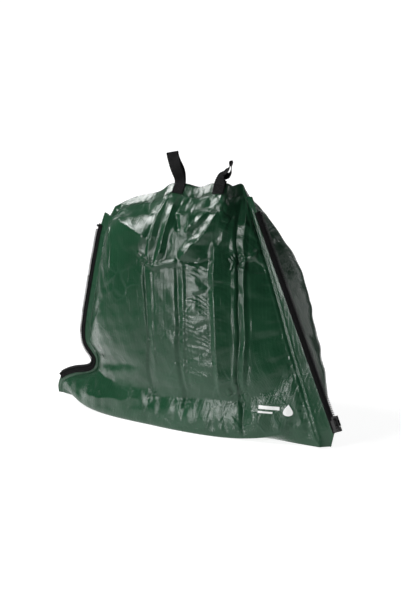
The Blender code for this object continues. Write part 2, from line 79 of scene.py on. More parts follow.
# Right zip: a straight line that the slider runs up, and the way its tape points outward
RIGHT_LINE = (Vector((0.4623, -0.0804, 0.0475)), Vector((0.2202, -0.0582, 0.586)))
RIGHT_OUT = Vector((math.cos(math.radians(14)), -math.sin(math.radians(14)), 0.0))
RIGHT_WELD = [
    (0.419, -0.09, 0.004), (0.37, -0.082, 0.127), (0.317, -0.074, 0.261), (0.271, -0.065, 0.387),
    (0.182, -0.049, 0.606),
]

# Left zip: from the corner lobe on the ground, over the fold above it and up to the shoulder
LEFT_LINE = [
    (-0.476, -0.046, 0.004), (-0.476, -0.047, 0.03), (-0.46, -0.05, 0.06), (-0.427, -0.054, 0.08),
    (-0.388, -0.058, 0.094), (-0.351, -0.062, 0.102), (-0.327, -0.066, 0.111), (-0.318, -0.068, 0.126),
    (-0.33, -0.07, 0.143), (-0.347, -0.071, 0.166), (-0.353, -0.072, 0.2), (-0.345, -0.072, 0.26),
    (-0.32, -0.072, 0.37), (-0.304, -0.072, 0.435), (-0.287, -0.072, 0.5), (-0.265, -0.072, 0.556),
]
LEFT_FLANGE = (0.016, 0.028)  # weld line to panel edge, on the lobe and above it
LEFT_ZIP_START = 0.06  # along the line

# Middle section of each panel from the bottom seam to the hem: distance from the seam plane, height
FRONT_SECTION = [
    (0.0, 0.0), (0.04, 0.0), (0.086, 0.0), (0.093, 0.008), (0.091, 0.04), (0.074, 0.096),
    (0.083, 0.14), (0.094, 0.24), (0.098, 0.34), (0.094, 0.44), (0.078, 0.52), (0.045, 0.575),
    (0.014, 0.612), (0.0, 0.634),
]
BACK_SECTION = [
    (0.0, 0.0), (0.09, 0.0), (0.165, 0.0), (0.198, 0.018), (0.222, 0.08), (0.235, 0.17),
    (0.24, 0.27), (0.233, 0.36), (0.205, 0.445), (0.15, 0.52), (0.075, 0.575), (0.018, 0.612),
    (0.0, 0.634),
]
# Top edge from the left shoulder to the right: x, y, z
HEM_LINE = [
    (-0.22, -0.072, 0.568), (-0.148, -0.074, 0.596), (-0.064, -0.076, 0.613), (-0.021, -0.077, 0.634),
    (0.013, -0.077, 0.634), (0.061, -0.076, 0.626), (0.101, -0.073, 0.637), (0.135, -0.073, 0.637),
    (0.146, -0.058, 0.63), (0.158, -0.034, 0.636), (0.172, -0.04, 0.62), (0.182, -0.049, 0.606),
]


def unit(value):
    return np.clip(value, 0, 1)


def bell(distance, width):
    return np.exp(-((distance / width) ** 2))


def ripple(value, pitch):
    return np.sin(value / pitch * math.tau)


def running(points):
    """Length of a path up to each of its points."""
    runs = [0.0]
    for a, b in zip(points, points[1:]):
        runs.append(runs[-1] + (b - a).length)
    return runs


def smooth_line(points, t):
    """Point at share t of the length of a curve through the points."""
    points = [Vector(p) for p in points]
    lengths = [(b - a).length for a, b in zip(points, points[1:])]
    left = max(0.0, min(1.0, t)) * sum(lengths)
    i = 0
    while i < len(lengths) - 1 and left > lengths[i]:
        left -= lengths[i]
        i += 1
    s = min(1.0, left / lengths[i])
    p1, p2 = points[i], points[i + 1]
    p0 = points[i - 1] if i else p1 * 2 - p2
    p3 = points[i + 2] if i + 2 < len(points) else p2 * 2 - p1
    return 0.5 * (
        2 * p1 + (p2 - p0) * s + (2 * p0 - 5 * p1 + 4 * p2 - p3) * s**2
        + (3 * p1 - p0 - 3 * p2 + p3) * s**3
    )


LEFT_LENGTH = running([Vector(p) for p in LEFT_LINE])[-1]


def ease(low, high, value):
    t = max(0.0, min(1.0, (value - low) / (high - low)))
    return t * t * (3 - 2 * t)


def right_weld(v):
    return smooth_line(RIGHT_WELD, v)


def right_flange(v):
    """Edge, lap line and weld line of the right side."""
    low, high = RIGHT_LINE
    weld = right_weld(v)
    point = low + (high - low) * ((weld.z - low.z) / (high.z - low.z))
    cut = 0.033 * max(0.0, 1 - v / 0.075)
    edge = point - RIGHT_OUT * (TAPE_REACH + cut)
    return edge, point - RIGHT_OUT * (TAPE_REACH + TAPE_LAP + 0.001 + cut * 0.8), weld


def left_line(length):
    share = length / LEFT_LENGTH
    point = smooth_line(LEFT_LINE, share)
    along = (smooth_line(LEFT_LINE, share + 0.004) - smooth_line(LEFT_LINE, share - 0.004)).normalized()
    return point, along, Vector((-along.z, 0.0, along.x)).normalized()


def left_flange(v):
    """Panel edge, lap line and weld line of the left side."""
    point, _, out = left_line(v * LEFT_LENGTH)
    width = LEFT_FLANGE[0] + (LEFT_FLANGE[1] - LEFT_FLANGE[0]) * ease(0.22, 0.5, v)
    edge = point - out * TAPE_REACH
    return edge, edge - out * (TAPE_LAP + 0.001), edge - out * width


def hem_point(u):
    return smooth_line(HEM_LINE, (u + 1) / 2)


def mouth_half_gap(u):
    return LAYER_GAP + MOUTH_HALF_GAP * ease(-0.42, -0.1, u) * ease(0.86, 0.62, u)


def panel_point(side, u, v, left, right, top_left, top_right, hem, middle):
    """Point of a panel's inner face between its welds; side is -1 at the front and 1 at the back."""
    flat = left.lerp(right, (u + 1) / 2)
    if side < 0:
        crown = 1 - abs(u + 0.15 * (1 - u * u)) ** 2.8
        spread = 0.0
    else:
        crown = max(0.0, 1 - abs(u) ** 2.6) ** (1 / 2.3)
        spread = 0.15 * abs(u) ** 6 * (1 - abs(u) ** 10) * min(1.0, middle.x / 0.2) * ease(0.99, 0.88, v)
        spread *= 1.0 if u > 0 else 0.3
    lift = 1 - abs(u) ** 5
    made = Vector((
        flat.x + math.copysign(spread, u),
        flat.y + side * (middle.x * crown),
        flat.z + (max(middle.z, 0.0) - flat.z) * lift,
    ))
    top_flat = top_left.lerp(top_right, (u + 1) / 2)
    top_made = Vector((top_flat.x, top_flat.y, top_flat.z + (TOP_Z - top_flat.z) * lift))
    made += (hem - top_made) * ease(0.72, 1.0, v)
    made.y += side * (LAYER_GAP + (mouth_half_gap(u) - LAYER_GAP) * ease(0.8, 0.98, v))
    made.z += CAD_SKIN
    return made


def panel_grid(side):
    """A panel with its flanges as an array of points, and the share of each column."""
    columns, rows = COLUMNS[side], ROWS[side]
    across = [math.sin(math.pi / 2 * (2 * i / columns - 1)) * 0.35 + (2 * i / columns - 1) * 0.65
              for i in range(columns + 1)]
    section = FRONT_SECTION if side < 0 else BACK_SECTION
    top_left, top_right = left_flange(1)[2], right_weld(1)
    hems = [hem_point(u) for u in across]
    drop = Vector((0, side * LAYER_GAP, CAD_SKIN))
    grid = []
    for j in range(rows + 1):
        v = j / rows
        middle = smooth_line([(d, 0, z) for d, z in section], v)
        left, right = left_flange(v), right_flange(v)
        row = [left[0].lerp(left[2], k / LEFT_COLUMNS) + drop for k in range(LEFT_COLUMNS)]
        for u, hem in zip(across, hems):
            row.append(panel_point(side, u, v, left[2], right[2], top_left, top_right, hem, middle))
        for k in range(1, RIGHT_COLUMNS + 1):
            t = k / RIGHT_COLUMNS
            if t < LAP_SHARE:
                bend = right[2].lerp(right[1], t / LAP_SHARE)
            else:
                bend = right[1].lerp(right[0], (t - LAP_SHARE) / (1 - LAP_SHARE))
            row.append(bend + drop)
        grid.append([tuple(p) for p in row])
    return np.array(grid), np.array([-1.2] * LEFT_COLUMNS + across + [1.2] * RIGHT_COLUMNS)


def finer(values, axis=0):
    """Doubles an array's points along one axis, on a smooth curve through them."""
    values = np.moveaxis(values, axis, 0)
    inner = (-values[:-3] + 9 * values[1:-2] + 9 * values[2:-1] - values[3:]) / 16
    halves = np.concatenate([(values[:1] + values[1:2]) / 2, inner, (values[-2:-1] + values[-1:]) / 2])
    made = np.zeros((len(values) * 2 - 1,) + values.shape[1:])
    made[0::2], made[1::2] = values, halves
    return np.moveaxis(made, 0, axis)


def grid_normals(grid, side):
    across, up = np.gradient(grid, axis=1), np.gradient(grid, axis=0)
    normal = np.cross(across, up) * -side
    return normal / np.maximum(np.linalg.norm(normal, axis=2, keepdims=True), 1e-12)


def link_object(name, data):
    obj = bpy.data.objects.new(name, data)
    bpy.context.scene.collection.objects.link(obj)
    return obj


def mesh_object(name, verts, faces, smooth=True, uv=None):
    mesh = bpy.data.meshes.new(name)
    mesh.from_pydata([tuple(v) for v in verts], [], faces)
    mesh.validate()
    if smooth:
        mesh.shade_smooth()
    if uv is not None:
        loops = np.zeros(len(mesh.loops), int)
        mesh.loops.foreach_get("vertex_index", loops)
        mesh.uv_layers.new(name="cloth").data.foreach_set("uv", np.array(uv)[loops].ravel())
    return link_object(name, mesh)


def grid_faces(rows, columns, flip=False, wrap=False):
    faces = []
    for j in range(rows - 1):
        for i in range(columns if wrap else columns - 1):
            a, b = j * columns + i, j * columns + (i + 1) % columns
            quad = (a, b, b + columns, a + columns)
            faces.append(quad[::-1] if flip else quad)
    return faces


def tube_faces(rows, columns, base=0):
    """Faces of a tube of rings with both ends closed, from vertex number base."""
    last = base + (rows - 1) * columns
    faces = [tuple(base + k for k in f) for f in grid_faces(rows, columns, wrap=True)]
    return faces + [tuple(range(base, base + columns))[::-1], tuple(range(last, last + columns))]


def settle_cloth(grid, side):
    """Lets a panel wrinkle: cloth with a little spare length and air behind it, held along its edges."""
    rows, columns = grid.shape[:2]
    obj = mesh_object(f"cloth_{side}", grid.reshape(-1, 3), grid_faces(rows, columns, side > 0))
    group = obj.vertex_groups.new(name="held")
    height = np.arange(rows)[:, None] / (rows - 1)
    place = np.arange(columns)[None, :]
    held = (place <= LEFT_COLUMNS) | (place >= columns - RIGHT_COLUMNS - 1)
    held = held | (height > 0.955) | (height < 0.02)
    for index in np.flatnonzero(np.broadcast_to(held, (rows, columns))):
        group.add([int(index)], 1.0, "REPLACE")
    modifier = obj.modifiers.new("Cloth", "CLOTH")
    cloth = modifier.settings
    cloth.quality = 6
    cloth.mass = 0.25
    cloth.tension_stiffness = cloth.compression_stiffness = 40
    cloth.shear_stiffness = 20
    cloth.bending_stiffness = 1.2
    cloth.air_damping = 2.0
    cloth.vertex_group_mass = "held"
    cloth.pin_stiffness = 1
    cloth.shrink_min = -CLOTH_SPARE
    cloth.use_pressure = True
    cloth.uniform_pressure_force = CLOTH_PRESSURE
    cloth.effector_weights.gravity = 0.0
    modifier.collision_settings.use_collision = False
    modifier.point_cache.frame_start, modifier.point_cache.frame_end = 1, CLOTH_FRAMES
    scene = bpy.context.scene
    for number in range(1, CLOTH_FRAMES + 1):
        scene.frame_set(number)
    evaluated = obj.evaluated_get(bpy.context.evaluated_depsgraph_get())
    settled = evaluated.to_mesh()
    points = np.array([v.co for v in settled.vertices]).reshape(grid.shape)
    evaluated.to_mesh_clear()
    scene.frame_set(1)
    bpy.data.objects.remove(obj)
    moved = points - grid
    size = np.linalg.norm(moved, axis=2, keepdims=True)
    moved *= np.tanh(size / CLOTH_REACH) * CLOTH_REACH / np.maximum(size, 1e-9)
    moved *= np.clip((grid[..., 2:] - 0.01) / 0.12, 0.1, 1.0)
    made = grid + moved
    made[..., 2] = np.maximum(made[..., 2], np.minimum(grid[..., 2], 0.0008))
    return made


def line_distance(points, line):
    """Distance of (x, z) points from a line of (x, z) corners, share along it, and side of it."""
    line = np.array(line, float)
    lengths = np.linalg.norm(np.diff(line, axis=0), axis=1)
    best = np.full(len(points), 1e9)
    share, side = np.zeros(len(points)), np.ones(len(points))
    run = 0.0
    for a, b, length in zip(line, line[1:], lengths):
        d = (b - a) / length
        offset = points - a
        t = np.clip(offset @ d, 0, length)
        gap = offset - t[:, None] * d
        distance = np.linalg.norm(gap, axis=1)
        nearer = distance < best
        best[nearer] = distance[nearer]
        share[nearer] = (run + t[nearer]) / lengths.sum()
        side[nearer] = np.sign(d[0] * gap[nearer, 1] - d[1] * gap[nearer, 0])
        run += length
    return best, share, side


def wobble(points, scale, seed):
    """A smooth random value from -1 to 1 at each (x, z) point."""
    rng = np.random.default_rng(seed)
    value = np.zeros(len(points))
    for _ in range(5):
        turn = rng.uniform(0, math.tau)
        wave = np.array([math.cos(turn), math.sin(turn)]) * math.tau / scale * rng.uniform(0.7, 1.6)
        value += np.sin(points @ wave + rng.uniform(0, math.tau))
    return value / 3.2


# Creases of the front panel: corners (x, z), height of the crest, width to its left and right.
# Looking from the first corner towards the last, left and right are as seen from the front.
FOLD_GAIN = FOLD_POWER = 1.35
FOLDS = [
    ([(-0.052, 0.445), (-0.044, 0.345), (-0.038, 0.235), (-0.046, 0.085)], -0.003, 0.03, 0.007),
    ([(-0.03, 0.43), (-0.024, 0.33), (-0.02, 0.15)], 0.0016, 0.006, 0.02),
    ([(0.044, 0.44), (0.054, 0.296), (0.057, 0.165), (0.062, 0.02)], -0.0042, 0.05, 0.012),
    ([(0.06, 0.445), (0.068, 0.3), (0.07, 0.11)], 0.0026, 0.01, 0.03),
    ([(0.128, 0.5), (0.145, 0.355), (0.156, 0.24), (0.163, 0.105)], 0.005, 0.035, 0.014),
    ([(0.168, 0.585), (0.19, 0.447), (0.208, 0.28), (0.214, 0.112), (0.228, 0.01)], -0.006, 0.03, 0.008),
    ([(0.182, 0.59), (0.203, 0.447), (0.222, 0.28), (0.228, 0.118)], 0.0058, 0.01, 0.03),
    ([(-0.205, 0.545), (-0.18, 0.47), (-0.176, 0.4)], 0.003, 0.006, 0.03),
    ([(-0.205, 0.552), (-0.155, 0.538), (-0.094, 0.518), (-0.04, 0.492)], 0.011, 0.055, 0.06),
    ([(-0.004, 0.612), (-0.02, 0.562), (-0.033, 0.505), (-0.04, 0.492)], 0.0075, 0.03, 0.012),
    ([(-0.036, 0.5), (-0.046, 0.44)], 0.005, 0.025, 0.01),
    ([(0.012, 0.602), (0.014, 0.548), (-0.002, 0.475), (-0.008, 0.44)], 0.006, 0.016, 0.02),
    ([(0.15, 0.616), (0.14, 0.57), (0.114, 0.52), (0.078, 0.484), (0.054, 0.446)], 0.008, 0.03, 0.022),
    ([(0.138, 0.596), (0.112, 0.566), (0.086, 0.542), (0.06, 0.53)], 0.0045, 0.014, 0.016),
    ([(0.158, 0.56), (0.15, 0.5), (0.132, 0.47)], 0.0045, 0.02, 0.02),
    ([(0.026, 0.562), (0.064, 0.563)], 0.004, 0.01, 0.03),
    ([(0.064, 0.563), (0.06, 0.517)], 0.003, 0.018, 0.006),
    ([(0.03, 0.56), (0.04, 0.52)], -0.0035, 0.008, 0.01),
    ([(-0.06, 0.076), (0.044, 0.088), (0.132, 0.095), (0.212, 0.098)], -0.0034, 0.02, 0.03),
    ([(0.05, 0.444), (0.1, 0.445), (0.135, 0.452)], -0.0034, 0.01, 0.012),
    ([(0.186, 0.447), (0.226, 0.447), (0.262, 0.424)], -0.004, 0.01, 0.014),
    ([(0.178, 0.545), (0.232, 0.506), (0.26, 0.448)], 0.005, 0.02, 0.022),
    ([(0.2, 0.44), (0.232, 0.478), (0.256, 0.515)], 0.0035, 0.012, 0.012),
    ([(-0.046, 0.44), (-0.02, 0.426), (0.01, 0.44), (0.048, 0.444)], 0.0045, 0.012, 0.014),
    ([(-0.02, 0.428), (-0.01, 0.456), (0.004, 0.47)], 0.0035, 0.008, 0.01),
    ([(-0.05, 0.445), (-0.072, 0.462)], 0.003, 0.008, 0.01),
    ([(0.086, 0.62), (0.052, 0.61), (0.03, 0.585)], 0.004, 0.01, 0.012),
    ([(-0.176, 0.094), (-0.26, 0.11), (-0.33, 0.104)], -0.003, 0.02, 0.022),
    ([(-0.06, 0.07), (-0.17, 0.052), (-0.3, 0.04)], 0.003, 0.02, 0.03),
]
# Rays round a point: x, z, number of rays, reach
STARS = [(0.209, 0.114, 9, 0.04), (0.189, 0.447, 8, 0.034), (-0.046, 0.085, 6, 0.026), (-0.047, 0.44, 6, 0.028)]


def front_relief(points):
    """Height of the creases and small wrinkles at each (x, z) point of the front."""
    across, up = points[:, 0], points[:, 1]
    height = np.zeros(len(points))
    bent = points + np.stack([wobble(points, 0.1, 3), wobble(points, 0.1, 4)], 1) * 0.0022
    for line, crest, left, right in FOLDS:
        distance, share, side = line_distance(bent, line)
        width = np.where(side > 0, left, right)
        taper = unit(np.minimum(share, 1 - share) / 0.16 + 0.25)
        height += FOLD_GAIN * crest * taper * unit(1 - distance / width) ** FOLD_POWER
    for x, z, arms, reach in STARS:
        offset = points - (x, z)
        distance = np.linalg.norm(offset, axis=1)
        angle = np.arctan2(offset[:, 1], offset[:, 0])
        ray = np.cos(angle * arms + 6 * wobble(points, 0.05, int(x * 1000) % 97 + 5))
        height += 0.0022 * ray * bell(distance - reach * 0.4, reach * 0.32)
    # short wrinkles across the tight middle column, and soft ones over the rest
    column = bell(across - 0.105, 0.05) * unit((up - 0.12) / 0.1) * unit((0.48 - up) / 0.06)
    slant = up + 0.3 * (across - 0.1) + 0.006 * wobble(points, 0.07, 11)
    height += 0.001 * column * ripple(slant, 0.0125) * unit(wobble(points, 0.06, 12) + 0.5)
    slant = up - 0.45 * (across - 0.1) + 0.01 * wobble(points, 0.09, 13)
    height += 0.0011 * column * ripple(slant, 0.031) * unit(wobble(points, 0.08, 14) + 0.3)
    height += 0.0007 * wobble(points, 0.045, 21) + 0.0012 * wobble(points, 0.13, 22)
    skirt = unit((0.1 - up) / 0.04) * unit((up - 0.004) / 0.02)
    height += 0.0009 * skirt * np.sin(across / 0.052 * math.tau + 2.5 * wobble(points, 0.2, 23))
    return height


def zip_frame(side, s):
    """Place and directions of the zip at length s above its lower end: point, along, out, back."""
    if side > 0:
        start, end = RIGHT_LINE
        along = (end - start).normalized()
        point, out = start + along * s, RIGHT_OUT
    else:
        point, along, out = left_line(LEFT_ZIP_START + s)
    point = point + Vector((0, 0, CAD_SKIN))
    out = (out - along * out.dot(along)).normalized()
    back = along.cross(out).normalized()
    back = back if back.y > 0 else -back
    return point + back * (CAD_SKIN + 2.4 * LAYER_GAP + TAPE_THICK / 2), along, out, back


def metric_uv(grid):
    """Place of each grid point on the flat cloth, in metres."""
    across = np.linalg.norm(np.diff(grid, axis=1), axis=2)
    u = np.concatenate([np.zeros((len(grid), 1)), np.cumsum(across, axis=1)], 1)
    u -= u[:, [u.shape[1] // 2]]
    up = np.linalg.norm(np.diff(grid, axis=0), axis=2)
    v = np.concatenate([np.zeros((1, grid.shape[1])), np.cumsum(up, axis=0)], 0)
    return np.stack([u, v], 2)


def solid_sheet(name, outer, inner, uv):
    """A closed thin solid between two layers of points that share their rows and columns."""
    rows, columns = outer.shape[:2]
    count = rows * columns
    index = np.arange(count).reshape(rows, columns)
    a, b, c, d = index[:-1, :-1], index[:-1, 1:], index[1:, 1:], index[1:, :-1]
    top = np.stack([a, b, c, d], 2).reshape(-1, 4)
    low = top[:, ::-1] + count
    rim = np.concatenate([index[0, :], index[1:, -1], index[-1, -2::-1], index[-2:0:-1, 0]])
    after = np.roll(rim, -1)
    edge = np.stack([after, rim, rim + count, after + count], 1)
    faces = np.concatenate([top, low, edge])
    mesh = bpy.data.meshes.new(name)
    mesh.vertices.add(2 * count)
    mesh.vertices.foreach_set("co", np.concatenate([outer.reshape(-1, 3), inner.reshape(-1, 3)]).ravel())
    mesh.loops.add(faces.size)
    mesh.loops.foreach_set("vertex_index", faces.ravel())
    mesh.polygons.add(len(faces))
    mesh.polygons.foreach_set("loop_start", np.arange(len(faces)) * 4)
    flat = np.concatenate([uv.reshape(-1, 2)] * 2)[faces.ravel()]
    mesh.uv_layers.new(name="cloth").data.foreach_set("uv", flat.ravel())
    mesh.update(calc_edges=True)
    mesh.validate()
    mesh.shade_smooth()
    return link_object(name, mesh)


def back_relief(points):
    """Height of the soft folds at each (x, z) point of the back."""
    height = 0.003 * wobble(points * (1.0, 0.35), 0.14, 41) + 0.0016 * wobble(points, 0.07, 42)
    rng = random.Random(7)
    bent = points + np.stack([wobble(points, 0.12, 43), wobble(points, 0.12, 44)], 1) * 0.004
    for _ in range(22):
        x, z = rng.uniform(-0.34, 0.36), rng.uniform(0.06, 0.52)
        turn, length = rng.gauss(math.pi / 2, 0.55), rng.uniform(0.07, 0.26)
        step = np.array([math.cos(turn), math.sin(turn)]) * length
        middle = (x + step[0] * 0.5 + rng.uniform(-0.01, 0.01), z + step[1] * 0.5)
        line = [(x, z), middle, (x + step[0], z + step[1])]
        distance, share, side = line_distance(bent, line)
        width = np.where(side > 0, rng.uniform(0.008, 0.03), rng.uniform(0.008, 0.03))
        taper = unit(np.minimum(share, 1 - share) / 0.3)
        height += rng.uniform(-0.004, 0.005) * taper * unit(1 - distance / width) ** 1.3
    return height


def weld_relief(points):
    """The pressed line of each side weld, with raised edges and the marks of the welding bar."""
    height = np.zeros(len(points))
    right = [right_weld(k / 40) for k in range(41)]
    left = [left_flange(k / 60)[2] for k in range(61)]
    for line in (right, left):
        distance, share, _ = line_distance(points, [(p.x, p.z) for p in line])
        run = share * running(line)[-1]
        height += 0.0008 * bell(distance - 0.0058, 0.0022) - 0.0005 * bell(distance, 0.0026)
        height += 0.0003 * ripple(run, 0.0095) * bell(distance, 0.007)
    return height


def make_panel(side, doublings):
    """The finished grid of a panel's inner face, with its normals."""
    grid, across = panel_grid(side)
    grid = settle_cloth(grid, side)
    for _ in range(doublings):
        grid = finer(finer(grid, 0), 1)
    places = np.linspace(0, len(across) - 1, grid.shape[1])
    across = np.interp(places, np.arange(len(across)), across)
    up = np.linspace(0, 1, grid.shape[0])
    normals = grid_normals(grid, side)
    flat = metric_uv(grid)
    points = grid[..., [0, 2]].reshape(-1, 2)
    relief = (front_relief(points) if side < 0 else back_relief(points)).reshape(grid.shape[:2])
    inside = unit((1.0 - np.abs(across)) / 0.1)
    inside = inside * inside * (3 - 2 * inside)
    hem = 0.08 + 0.92 * unit((1 - up) / 0.13)
    ground = unit((grid[..., 2] - 0.004) / 0.022)
    grid = grid + normals * (relief * inside[None, :] * hem[:, None] * ground)[..., None]
    weld = weld_relief(points).reshape(grid.shape[:2])
    grid = grid + normals * (weld * ground * unit((1 - up) / 0.06)[:, None])[..., None]
    return grid, grid_normals(grid, side), across, up, flat


def offset_sheet(name, grid, normals, uv):
    """The panel's fabric, just clear of its grid."""
    return solid_sheet(name, grid + normals * (0.0002 + SKIN), grid + normals * 0.0002, uv)


def ring_sweep(name, sections, uv_across):
    """A tube with closed ends through sections that have the same number of points."""
    count = len(sections[0])
    verts = [p for section in sections for p in section]
    centres = [sum((Vector(p) for p in section), Vector()) / count for section in sections]
    uv = [(a, run) for run in running(centres) for a in uv_across]
    obj = mesh_object(name, verts, tube_faces(len(sections), count), True, uv)
    bm = bmesh.new()
    bm.from_mesh(obj.data)
    bmesh.ops.recalc_face_normals(bm, faces=bm.faces)
    bm.to_mesh(obj.data)
    bm.free()
    return obj


def ribbon_section(centre, width, normal, half, thick):
    """Section of woven webbing: flat faces, rounded selvedges."""
    shares = (-1.0, -0.97, -0.9, -0.5, 0.0, 0.5, 0.9, 0.97, 1.0)
    heights = (0.3, 0.72, 1.0, 0.94, 1.0, 0.94, 1.0, 0.72, 0.3)
    top = [centre + width * (half * s) + normal * (thick / 2 * h) for s, h in zip(shares, heights)]
    low = [centre + width * (half * s) - normal * (thick / 2 * h) for s, h in zip(shares, heights)]
    return top + low[::-1], [half * s for s in shares] + [half * s for s in shares[::-1]]


STITCH = ((0.0, 0.35, -0.3), (0.18, 1.0, 0.55), (0.5, 1.1, 0.8), (0.82, 1.0, 0.55), (1.0, 0.35, -0.3))
STITCH_SIDES = 6


def stitch_row(name, places, length, gap, radius):
    """Separate stitches along a path of (point, normal), spaced by length along it."""
    verts, faces = [], []
    runs = running([p for p, _ in places])
    position, i = 0.0, 0
    while position + length <= runs[-1]:
        while i < len(runs) - 2 and runs[i + 1] < position + length / 2:
            i += 1
        (a, normal), (b, _) = places[i], places[i + 1]
        if runs[i + 1] - runs[i] > 1e-6:
            along = (b - a).normalized()
            start = a + along * (position - runs[i])
            across = along.cross(normal).normalized()
            base = len(verts)
            for t, r, h in STITCH:
                for k in range(STITCH_SIDES):
                    turn = math.tau * k / STITCH_SIDES
                    verts.append(start + along * (t * length) + across * (math.cos(turn) * radius * r)
                                 + normal * ((math.sin(turn) * r + h) * radius))
            faces += tube_faces(len(STITCH), STITCH_SIDES, base)
        position += length + gap
    return mesh_object(name, verts, faces)


# Panels
front, front_normals, front_across, front_up, front_uv = make_panel(-1, 2)
back, back_normals, _, back_up, back_uv = make_panel(1, 1)
front_panel = offset_sheet("front_fabric", front, front_normals, front_uv)
back_panel = offset_sheet("back_fabric", back, back_normals, back_uv)


def stepped(values):
    """More rows of an array, on straight lines between the ones it has."""
    low, high = np.repeat(values[:-1], BAND_STEPS, axis=0), np.repeat(values[1:], BAND_STEPS, axis=0)
    step = np.tile(np.arange(BAND_STEPS) / BAND_STEPS, len(values) - 1)[:, None, None]
    return np.concatenate([low + (high - low) * step, values[-1:]])


def hem_band(name, grid, normals, uv, up, side):
    """Folded strip round the top edge, with the fold rolled over the panel's edge."""
    first = int(np.searchsorted(up, 1 - BAND_HEIGHT / SECTION_LENGTH[side]))
    cells, total = grid.shape[1] - 1, LEFT_COLUMNS + RIGHT_COLUMNS + COLUMNS[side]
    inside = slice(LEFT_COLUMNS * cells // total + 2, -(RIGHT_COLUMNS * cells // total) - 2)
    part, n, flat = grid[first:, inside], normals[first:, inside], uv[first:, inside]
    rise = np.array([0, 0, 1.0])
    points, flats = stepped(part), stepped(flat)
    lean = np.concatenate([np.repeat(n[:-1], BAND_STEPS, axis=0), n[-1:]])
    share = np.linspace(0, 1, len(points))[:, None, None]
    pucker = 0.0001 * ripple(flats[..., :1], 0.019) * np.sin(share * math.pi)
    outer = points + lean * (BAND_OUT + pucker)
    inner = points + lean * (0.0004 + SKIN)
    top, top_lean = points[-1:], lean[-1:]
    outer = np.concatenate([outer, top + top_lean * 0.0011 + rise * 0.0009, top + top_lean * 0.0004 + rise * 0.0011])
    inner = np.concatenate([inner, top + top_lean * (0.0004 + SKIN), top + top_lean * 0.0002 + rise * 0.0001])
    flats = np.concatenate([flats, flats[-1:] + (0, 0.001), flats[-1:] + (0, 0.002)])
    return solid_sheet(name, outer, inner, flats), outer, lean


front_band, band_outer, band_lean = hem_band("front_hem", front, front_normals, front_uv, front_up, -1)
back_band, back_outer, back_lean = hem_band("back_hem", back, back_normals, back_uv, back_up, 1)


def hem_stitches(name, outer, lean):
    row = [(Vector(p) + Vector(n) * 0.0001, Vector(n)) for p, n in zip(outer[4], lean[4])]
    return stitch_row(name, row, 0.003, 0.0016, 0.00035)


front_hem_stitches = hem_stitches("front_hem_stitches", band_outer, band_lean)
back_hem_stitches = hem_stitches("back_hem_stitches", back_outer, back_lean)

# Handles: one length of webbing each, sewn outside and inside the mouth
LEFT_LOOP = [
    ((0.0, 0.0, 0.0), (1.0, 0.0, 0.0)), ((-0.001, -0.001, 0.014), (1.0, 0.0, 0.03)),
    ((-0.006, -0.002, 0.03), (0.98, 0.0, 0.1)), ((-0.015, -0.003, 0.05), (0.95, 0.05, 0.1)),
    ((-0.021, -0.003, 0.066), (0.92, 0.12, -0.2)), ((-0.023, -0.003, 0.076), (0.85, 0.2, -0.5)),
]
RIGHT_LOOP = [
    ((0.0, 0.0, 0.0), (1.0, 0.0, 0.0)), ((0.001, 0.001, 0.009), (0.98, -0.15, 0.05)),
    ((0.008, 0.002, 0.017), (0.84, -0.5, 0.05)), ((0.015, 0.003, 0.021), (0.5, -0.86, 0.0)),
    ((0.022, 0.004, 0.029), (0.32, -0.94, 0.0)), ((0.026, 0.004, 0.04), (0.3, -0.95, 0.0)),
    ((0.027, 0.004, 0.052), (0.36, -0.93, 0.0)),
]
LEFT_BASE, RIGHT_BASE = Vector((0.008, -0.087394, 0.640293)), Vector((0.126, -0.080034, 0.642311))
LEG_HALF_GAP = 0.0016
LOOP_STEPS, END_STEPS = 30, 12  # up each leg of a loop, and round its end


def loop_path(spine):
    """Points round a loop of webbing: up its front leg, over the end and down its back leg."""
    count = LOOP_STEPS
    places = [Vector(p) for p, _ in spine]
    middle = [smooth_line(places, i / count) for i in range(count + 1)]
    across = [smooth_line([w for _, w in spine], i / count).normalized() for i in range(count + 1)]
    front_leg, back_leg = [], []
    for i, point in enumerate(middle):
        along = (middle[min(i + 1, count)] - middle[max(i - 1, 0)]).normalized()
        width = (across[i] - along * across[i].dot(along)).normalized()
        normal = along.cross(width).normalized()
        normal = normal if normal.y > 0 else -normal
        opening = LEG_HALF_GAP + 0.0054 * math.sin(math.pi * min(1.0, i / count * 1.15)) ** 2
        front_leg.append((point - normal * opening, width))
        back_leg.append((point + normal * opening, width))
    over = []
    for k in range(1, END_STEPS):
        angle = math.pi * k / END_STEPS
        over.append((point - normal * opening * math.cos(angle) + along * opening * math.sin(angle), width))
    return front_leg + over + back_leg[::-1]


def tail_path(x, lift):
    """Middle, width direction and normal up the panel's top strip below a handle at x."""
    inner = np.abs(front_across) < 0.98

    def at(row, values, x):
        return np.array([np.interp(x, row[inner, 0], values[inner, k]) for k in range(3)])

    made = []
    for j in range(int(np.searchsorted(front_up, 1 - TAIL_HEIGHT / SECTION_LENGTH[-1])), len(front_up)):
        row = front[j]
        side = at(row, row, x + 0.012) - at(row, row, x - 0.012)
        n = Vector(at(row, front_normals[j], x)).normalized()
        made.append((Vector(at(row, row, x)) + n * lift, Vector(side).normalized(), n))
    return made


def smooth_path(places):
    for _ in range(4):
        inner = [((a[0] + b[0] * 2 + c[0]) / 4, (a[1] + b[1] * 2 + c[1]).normalized())
                 for a, b, c in zip(places, places[1:], places[2:])]
        places = [places[0]] + inner + [places[-1]]
    return places


